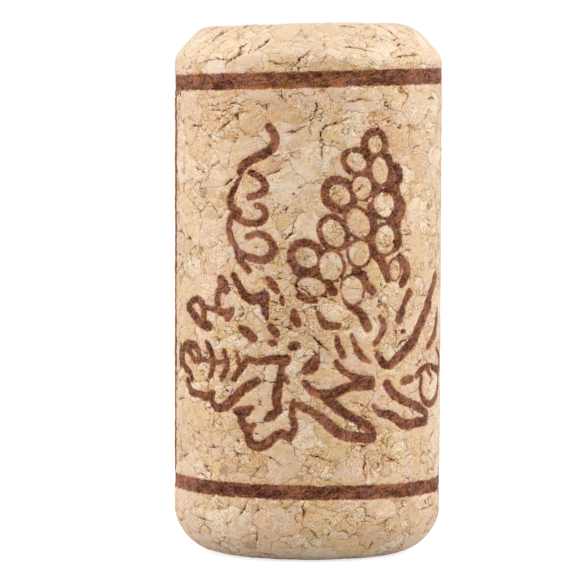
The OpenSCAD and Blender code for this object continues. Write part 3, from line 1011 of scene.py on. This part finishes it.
    def scatter_crumbs(self):
        """Torn pale crumbs beside the gaps, partly painted highlights on the lips of the gaps."""
        w = self.w
        crumb = w.cells(self.place, 3.2)
        self.torn_and_glint = w.product(
            w.ramp(w.parts(crumb["Color"])[0], 0.8, 0.85),
            w.ramp(crumb["Distance"], 0.5, 0.3),
            w.ramp(w.math("ADD", self.grain.open, w.product(self.busy, 0.4)), 0.1, 0.6),
        )
        self.coat(w.product(self.torn_and_glint, 0.3), "dust_and_highlight")

    def paint_head_highlight(self):
        # Painted highlight: the head is painted paler towards the top, where the light falls on it
        w = self.w
        height = w.math("ADD", w.parts(self.place)[2], self.cloud)
        self.coat(w.ramp(height, HIGHLIGHT_START, HIGHLIGHT_FULL, 0.0, 0.3), "dust_and_highlight")

    def brand_edge(self):
        """Distance to the ragged edge of the branded lines, less than 0 inside them."""
        w = self.w
        across, deep, up = w.parts(self.place)
        bearing = w.math("ARCTAN2", across, w.product(deep, -1.0))
        pressed = w.product(
            w.ramp(bearing, PRESSED_FROM, PRESSED_FROM + 0.04),
            w.ramp(bearing, PRESSED_TO, PRESSED_TO - 0.04),
            w.ramp(up, PRESSED_FOOT, PRESSED_FOOT + 0.8),
            w.ramp(up, PRESSED_HEAD, PRESSED_HEAD - 0.8),
        )
        ragged = w.product(self.noise(4.0, 3, 0.6), 0.28)
        wave = w.product(self.noise(1.0, 2), 0.25)
        return w.total(self.burn, ragged, wave, w.product(pressed, -0.5), 0.015)

    def press_brand(self):
        """The scorched edge and the charred floor of the branded lines."""
        w, tint = self.w, self.tint
        edge = self.brand_edge()
        self.burnt = w.ramp(edge, 0.01, -0.07)
        dark = w.total(
            w.product(self.noise(0.9, 3, 0.6), 1.8),
            w.product(self.fine, 3.0),
            w.product(self.sand, 2.2),
            w.product(self.streaks, 3.2),
            w.product(w.math("SUBTRACT", self.grain.rolls[2], 0.5), 0.7),
            w.ramp(edge, -0.08, -0.3, 0.0, 0.2),
        )
        brand = w.mix(w.ramp(dark, -1.0, 1.2), tint["burn"], tint["char"])
        brand = w.vector("MULTIPLY", brand, w.vector("MULTIPLY_ADD", self.tinge, CHAR_TINT, EVEN))
        missed = w.ramp(w.noise(self.place, 0.75, 3, 0.7)[0], 0.59, 0.7, 0.0, 0.4)
        brand = w.mix(missed, brand, tint["scorch"])
        veins = w.most(w.product(self.line, 0.8), self.wrinkle, self.string, self.pucker)
        brand = w.mix(w.product(veins, 0.6), brand, tint["char"])
        self.coat(w.ramp(edge, 0.09, -0.03, 0.0, 0.8), "scorch")
        self.coat(self.burnt, brand)

    def open_cracks(self):
        """The main cracks with rusty bark along them, a thin tail and painted shade in the core, and the
        small gaps and holes.
        """
        w, tint, grain = self.w, self.tint, self.grain
        off, middle = crack_edge(w, self.place, self.split)
        share, _, half_width = w.parts(self.split)
        here = w.ramp(half_width, 0.0, 0.05)
        bark = w.ramp(w.noise(self.place, 1.9, 2)[0], 0.4, 0.6, 0.1, 0.75)
        bark = w.product(w.ramp(off, 0.22, 0.0), here, bark, w.math("SUBTRACT", 1.0, self.burnt))
        self.coat(bark, "stain")

        inside = w.mix(w.ramp(w.noise(self.place, 3.1, 2)[0], 0.45, 0.65), tint["crack"], tint["stain"])
        self.coat(w.product(grain.crack, 0.8), inside)
        self.coat(w.product(grain.hole, 0.8), inside)
        self.tail = w.product(
            w.ramp(middle, 0.05, 0.01), here, w.ramp(w.math("ABSOLUTE", share), 2.0, 1.0)
        )
        self.coat(w.product(self.tail, 0.7), "crack")
        self.crack = w.product(w.ramp(off, 0.03, -0.03), here)
        self.coat(w.product(self.crack, 0.9), "crack")
        # Painted shade: the core of each main crack is darkened with the char colour, as the relief casts
        # little shadow there
        self.coat(w.product(w.ramp(off, 0.0, -0.08), here, 0.6), "char")

    def gloss(self):
        """How far the sheen of the skin shows: hardly in the cracks, holes, seams and wrinkles."""
        grain = self.grain
        dull = self.w.most(self.crack, grain.crack, grain.hole, self.seam, self.wrinkle, self.tail)
        return self.w.math("SUBTRACT", 1.0, self.w.product(dull, 0.9))

    def relief(self):
        """The height of the finest relief, in millimetres."""
        w = self.w
        return w.total(
            w.product(self.fine, 0.045),
            w.product(self.sand, 0.025),
            w.product(self.streaks, 0.04),
            w.product(self.seam, -0.02),
            w.product(self.wrinkle, -0.04),
            w.product(self.grit, -0.03),
            w.product(self.pucker, -0.03),
            w.product(self.grain.crack, -0.05),
            w.product(self.crack, -0.06),
            w.product(self.string, -0.03),
            w.product(self.torn_and_glint, 0.02),
            w.product(self.specks, -0.06),
        )


def cork_finish(colours):
    material = bpy.data.materials.new("branded_cork")
    material.use_nodes = True
    w = Wiring(material.node_tree)
    skin = CorkSkin(w, {name: (*getattr(colours, name), 1.0) for name in own_fields(colours)})
    shader = material.node_tree.nodes["Principled BSDF"]
    w.feed(shader.inputs["Base Color"], skin.colour)
    shader.inputs["Roughness"].default_value = 0.62
    gloss = skin.gloss()
    w.feed(shader.inputs["Specular IOR Level"], w.product(w.mix(skin.burnt, 0.5, 0.08, "FLOAT"), gloss))
    w.feed(shader.inputs["Sheen Weight"], w.product(w.mix(skin.burnt, 0.35, 0.0, "FLOAT"), gloss))
    shader.inputs["Sheen Roughness"].default_value = 0.45
    bump = w.add("ShaderNodeBump", {"Height": skin.relief(), "Distance": MM, "Strength": 1.0})
    w.feed(shader.inputs["Normal"], bump.outputs[0])
    return material


# ---- Stage ----

SIDE_LAMP_PLACE = Vector((0.32, 0.02, 0.12))
TOP_LAMP_PLACE = Vector((0, -0.22, 0.36))
LAMP_WIDTH = 0.3

# The floor lies just below the foot, so that the two don't share a plane
FLOOR_HEIGHT = -0.02 * MM


def white_material(name):
    """White that lights as paint does and looks white to the camera, apart from the shadow on it."""
    material = bpy.data.materials.new(name)
    material.use_nodes = True
    tree = material.node_tree
    tree.nodes.clear()
    w = Wiring(tree)
    paint = w.add("ShaderNodeBsdfDiffuse", {"Color": (0.6, 0.6, 0.6, 1.0)}).outputs[0]
    glow = w.add("ShaderNodeEmission", {"Color": (1.0, 1.0, 1.0, 1.0), "Strength": 0.75}).outputs[0]
    path = w.add("ShaderNodeLightPath").outputs
    seen = w.math("MAXIMUM", path["Is Camera Ray"], path["Is Glossy Ray"])
    nothing = w.add("ShaderNodeEmission", {"Strength": 0.0}).outputs[0]
    lit = w.add("ShaderNodeMixShader")
    w.feed(lit.inputs[0], seen)
    w.feed(lit.inputs[1], nothing)
    w.feed(lit.inputs[2], glow)
    both = w.add("ShaderNodeAddShader")
    w.feed(both.inputs[0], paint)
    w.feed(both.inputs[1], lit.outputs[0])
    out = w.add("ShaderNodeOutputMaterial")
    w.links.new(both.outputs[0], out.inputs["Surface"])
    return material


def lay_floor(stage):
    bpy.ops.object.select_all(action="DESELECT")
    bpy.ops.mesh.primitive_plane_add(size=stage.floor_width, location=(0, 0, FLOOR_HEIGHT))
    floor = bpy.context.object
    floor.name = "floor"
    bpy.ops.object.transform_apply(location=True, rotation=True, scale=True)
    floor.data.materials.append(white_material("floor_white"))


def light_sky(stage):
    """Even light from all round, which the camera sees as white."""
    world = bpy.data.worlds.new("studio")
    bpy.context.scene.world = world
    world.use_nodes = True
    tree = world.node_tree
    w = Wiring(tree)
    background = tree.nodes["Background"]
    background.inputs["Color"].default_value = (1, 1, 1, 1)
    path = w.add("ShaderNodeLightPath").outputs
    seen = w.math("MAXIMUM", path["Is Camera Ray"], path["Is Transmission Ray"])
    w.feed(background.inputs["Strength"], w.mix(seen, stage.sky, 1.0, "FLOAT"))


def hang_lamp(name, place, power):
    """A square soft lamp that shines at the middle of the stopper."""
    lamp = bpy.data.lights.new(name, "AREA")
    lamp.shape = "SQUARE"
    lamp.size = LAMP_WIDTH
    lamp.energy = power
    holder = bpy.data.objects.new(name, lamp)
    holder.location = place
    toward = Vector((0, 0, stopper_high.z / 2)) - place
    holder.rotation_mode = "QUATERNION"
    holder.rotation_quaternion = toward.to_track_quat("-Z", "Y")
    bpy.context.scene.collection.objects.link(holder)


def set_camera(stage):
    lens = bpy.data.cameras.new("camera")
    lens.lens = stage.lens
    lens.sensor_width = 36
    lens.clip_start = 0.01
    camera = bpy.data.objects.new("camera", lens)
    camera.matrix_world = (
        Matrix.Translation((-stage.side, -stage.distance, stage.height))
        @ Matrix.Rotation(math.pi / 2 - stage.pitch, 4, "X")
        @ Matrix.Rotation(stage.roll, 4, "Z")
    )
    bpy.context.scene.collection.objects.link(camera)
    bpy.context.scene.camera = camera


# ---- Operators and panel ----


class CORK_OT_stopper(bpy.types.Operator):
    """Model the stopper over its CAD solid and give it its finish"""

    bl_idname = "cork.stopper"
    bl_label = "Cork stopper"

    def execute(self, context):
        scene = context.scene
        piece = model_stopper(scene.stopper_sizes)
        piece.data.materials.clear()
        piece.data.materials.append(cork_finish(scene.stopper_colours))
        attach(piece, "root")
        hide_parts(NODE)
        return {"FINISHED"}


class CORK_OT_stage(bpy.types.Operator):
    """Set up the floor, the lamps and the camera"""

    bl_idname = "cork.stage"
    bl_label = "Stage"

    def execute(self, context):
        stage = context.scene.stage_sizes
        lay_floor(stage)
        light_sky(stage)
        for side in (-1, 1):
            place = Vector((side * SIDE_LAMP_PLACE.x, *SIDE_LAMP_PLACE.yz))
            hang_lamp("side_lamp", place, stage.side_lamp)
        hang_lamp("top_lamp", TOP_LAMP_PLACE, stage.top_lamp)
        set_camera(stage)
        context.scene.view_settings.view_transform = "Standard"
        return {"FINISHED"}


class CORK_PT_sidebar(bpy.types.Panel):
    """Lists the stopper, the stage and what can be changed on them"""

    bl_idname = "CORK_PT_sidebar"
    bl_label = "Cork Stopper"
    bl_space_type = "VIEW_3D"
    bl_region_type = "UI"
    bl_category = "Cork"

    def draw(self, context):
        for name, operator in (
            ("stopper_sizes", "cork.stopper"),
            ("stopper_colours", None),
            ("stage_sizes", "cork.stage"),
        ):
            group = getattr(context.scene, name)
            box = self.layout.box()
            for field in own_fields(group):
                box.prop(group, field)
            if operator:
                box.operator(operator)


CLASSES = (
    StopperSizes,
    StopperColours,
    StageSizes,
    CORK_OT_stopper,
    CORK_OT_stage,
    CORK_PT_sidebar,
)
GROUPS = {"stopper_sizes": StopperSizes, "stopper_colours": StopperColours, "stage_sizes": StageSizes}


def register():
    for item in CLASSES:
        bpy.utils.register_class(item)
    for name, group in GROUPS.items():
        setattr(bpy.types.Scene, name, bpy.props.PointerProperty(type=group))


def unregister():
    for name in GROUPS:
        delattr(bpy.types.Scene, name)
    for item in reversed(CLASSES):
        bpy.utils.unregister_class(item)


def main():
    register()
    bpy.ops.cork.stopper()
    bpy.ops.cork.stage()


if __name__ == "__main__":
    main()
